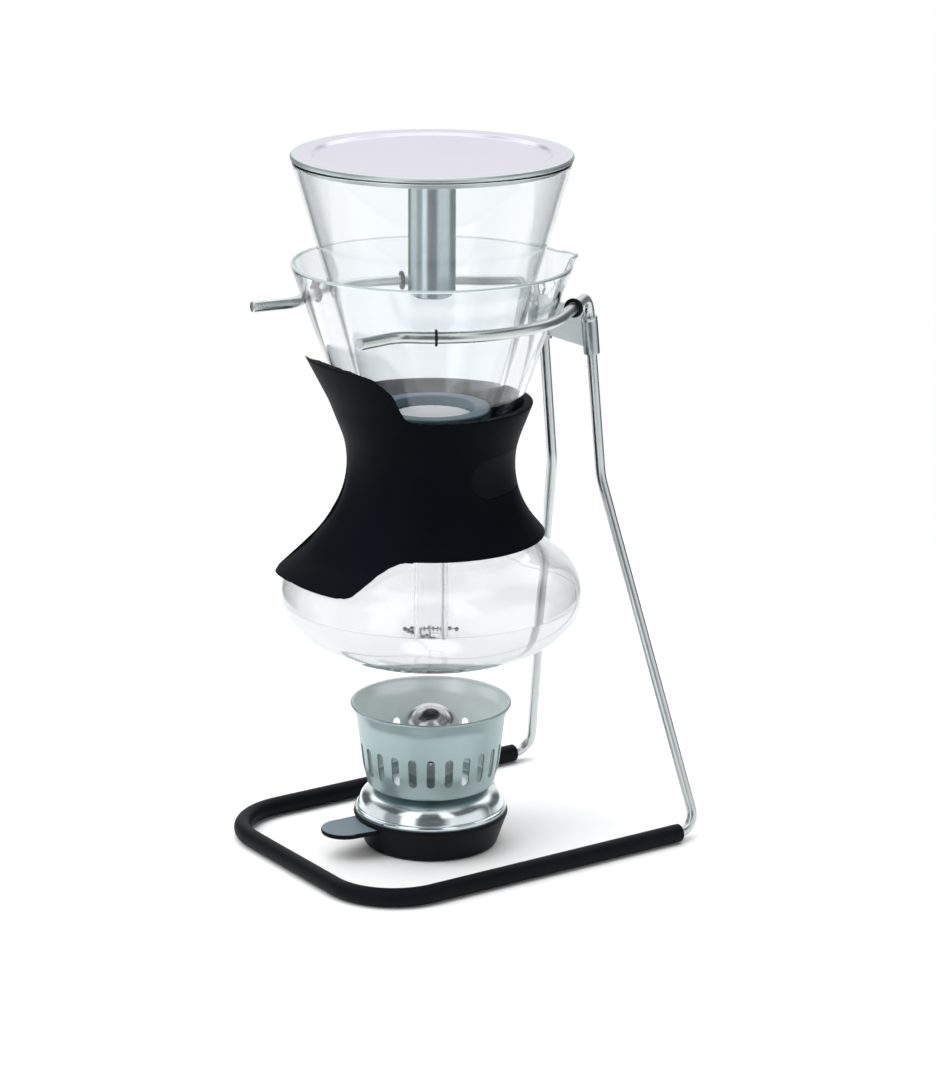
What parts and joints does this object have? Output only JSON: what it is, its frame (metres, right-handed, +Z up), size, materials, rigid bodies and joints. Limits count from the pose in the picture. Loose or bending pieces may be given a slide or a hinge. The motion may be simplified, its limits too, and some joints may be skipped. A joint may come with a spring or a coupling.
{
  "type": "siphon coffee brewer",
  "caption": "Vacuum coffee brewer: two clear glass bowls with a soft neck grip, held in the fork of a bent-wire stand over a free-standing alcohol burner.",
  "frame": {"origin": "on the table, at the centre of the burner's foot and on the two bowls' common axis", "axes": "+Z up along the bowls' axis; the fork opens and the base's front bar lies towards -X, the legs stand at +X, and the stand is symmetric about y = 0"},
  "size_m": [0.1986, 0.153, 0.3462],
  "materials": {
    "wire_steel": "satin",
    "socket_steel": "satin",
    "sleeve_black": "matt",
    "ring_rubber": "matt",
    "clear_glass": "clear",
    "grip_silicone": "matt silicone",
    "strap_silicone": "matt silicone",
    "packing_rubber": "matt",
    "filter_steel": "satin",
    "bead_chrome": "polished",
    "filter_cloth": "woven flannel",
    "filter_ring_grey": "satin",
    "lid_plastic": "smooth",
    "tube_steel": "satin",
    "foot_rubber": "matt",
    "tank_steel": "polished steel",
    "holder_steel": "satin",
    "wick_cotton": "braided",
    "shield_aluminium": "matt blasted",
    "cap_chrome": "polished"
  },
  "bodies": {
    "stand": {"base_frame": "wire_steel", "base_sleeve": "sleeve_black", "left_arm": "wire_steel", "right_arm": "wire_steel", "left_socket": "socket_steel", "right_socket": "socket_steel", "bracket_plate": "socket_steel", "cushion_rings": "ring_rubber"},
    "lower_bowl": {"lower_bowl": "clear_glass", "neck_grip": "grip_silicone", "grip_strap": "strap_silicone"},
    "upper_bowl": {"upper_bowl": "clear_glass", "bowl_packing": "packing_rubber", "filter_plate": "filter_steel", "filter_cloth": "filter_cloth", "filter_ring": "filter_ring_grey", "filter_spring": "filter_steel", "filter_hook": "filter_steel", "bead_chain": "bead_chrome"},
    "lid": {"lid_disc": "lid_plastic", "lid_tube": "tube_steel"},
    "burner": {"burner_foot": "foot_rubber", "fuel_reservoir": "tank_steel", "wick_holder": "holder_steel", "wick": "wick_cotton"},
    "windshield": {"windshield": "shield_aluminium"},
    "snuffer_cap": {"snuffer_cap": "cap_chrome"}
  },
  "joints": [
    {"name": "lower_bowl_lift", "type": "slide", "parent": "stand", "child": "lower_bowl", "axis": [0, 0, 1], "range_m": [0, 0.077]},
    {"name": "upper_bowl_lift", "type": "slide", "parent": "lower_bowl", "child": "upper_bowl", "axis": [0, 0, 1], "range_m": [0, 0.2]},
    {"name": "lid_lift", "type": "slide", "parent": "upper_bowl", "child": "lid", "axis": [0, 0, 1], "range_m": [0, 0.09]},
    {"name": "burner_slide", "type": "slide", "parent": "stand", "child": "burner", "axis": [1, 0, 0], "range_m": [-0.01, 0.18]},
    {"name": "windshield_lift", "type": "slide", "parent": "burner", "child": "windshield", "axis": [0, 0, 1], "range_m": [0, 0.02]},
    {"name": "snuffer_cap_lift", "type": "slide", "parent": "burner", "child": "snuffer_cap", "axis": [0, 0, 1], "range_m": [0, 0.022]}
  ]
}
